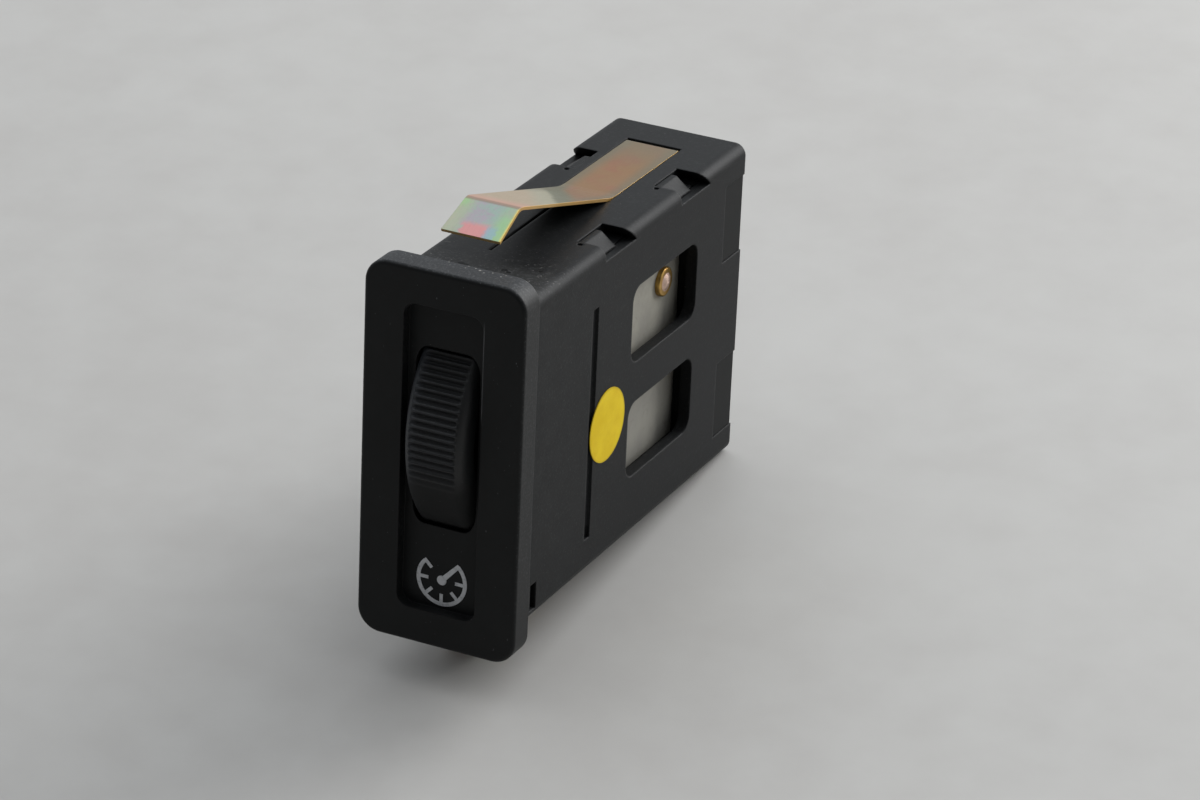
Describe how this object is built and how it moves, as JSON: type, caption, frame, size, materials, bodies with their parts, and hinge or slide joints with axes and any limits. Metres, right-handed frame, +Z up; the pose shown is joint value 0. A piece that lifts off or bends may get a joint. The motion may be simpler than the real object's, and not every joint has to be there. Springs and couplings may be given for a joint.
{
  "type": "dimmer switch",
  "caption": "Dashboard lighting dimmer: rounded face plate with a recessed knurled thumb wheel, long moulded sleeve with cooling windows and bent leaf springs that hold it in the panel.",
  "frame": {"origin": "centre of the face plate's back, in the plane that seats against the panel", "axes": "+Y runs from the face plate back into the panel along the sleeve, +Z is up, +X is to the right as seen from the front"},
  "size_m": [0.021, 0.065, 0.0564],
  "materials": {
    "face_plastic": "satin black moulded plastic",
    "wheel_plastic": "soft-sheen dark grey moulded plastic",
    "sleeve_plastic": "fine matt dark grey moulded plastic",
    "inner_plastic": "matt black moulded plastic",
    "spring_strip": "spring steel, yellow passivated zinc with a rainbow sheen",
    "ceramic": "off-white fired ceramic",
    "resistor_ink": "dark printed resistor film",
    "conductor_ink": "printed silver film",
    "brass_parts": "rolled brass",
    "solder": "dull solder",
    "steel_parts": "bright steel",
    "bronze_strip": "phosphor bronze strip",
    "silver_contact": "silver contact metal",
    "tinned_blade": "tinned brass",
    "holder_plastic": "pale heat-proof plastic",
    "lamp_glass": "clear lamp glass",
    "guide_clear": "clear polished plastic",
    "dot_vinyl": "yellow vinyl sticker"
  },
  "bodies": {
    "switch_body": {"bezel": "face_plastic", "housing": "sleeve_plastic", "carrier": "sleeve_plastic", "rear_cover": "inner_plastic", "leaf_spring_top": "spring_strip", "leaf_spring_bottom": "spring_strip", "resistor_plate": "ceramic", "resistor_track": "resistor_ink", "conductor_tracks": "conductor_ink", "eyelets": "brass_parts", "solder_joints": "solder", "axle": "steel_parts", "axle_bush": "brass_parts", "axle_clip": "steel_parts", "friction_washer": "steel_parts", "terminal_supply": "tinned_blade", "terminal_output": "tinned_blade", "terminal_earth": "tinned_blade", "lamp_holder": "holder_plastic", "lamp": "lamp_glass", "lamp_contacts": "bronze_strip", "light_guide": "guide_clear", "inspection_dot": "dot_vinyl"},
    "wheel_group": {"thumb_wheel": "wheel_plastic", "wiper_spring": "bronze_strip", "wiper_rivets": "brass_parts", "wiper_contacts": "silver_contact"}
  },
  "joints": [
    {"name": "wheel_turn", "type": "hinge", "parent": "switch_body", "child": "wheel_group", "pos_m": [0, 0.0105, 0.0025], "axis": [1, 0, 0], "range_deg": [-50, 50]}
  ]
}
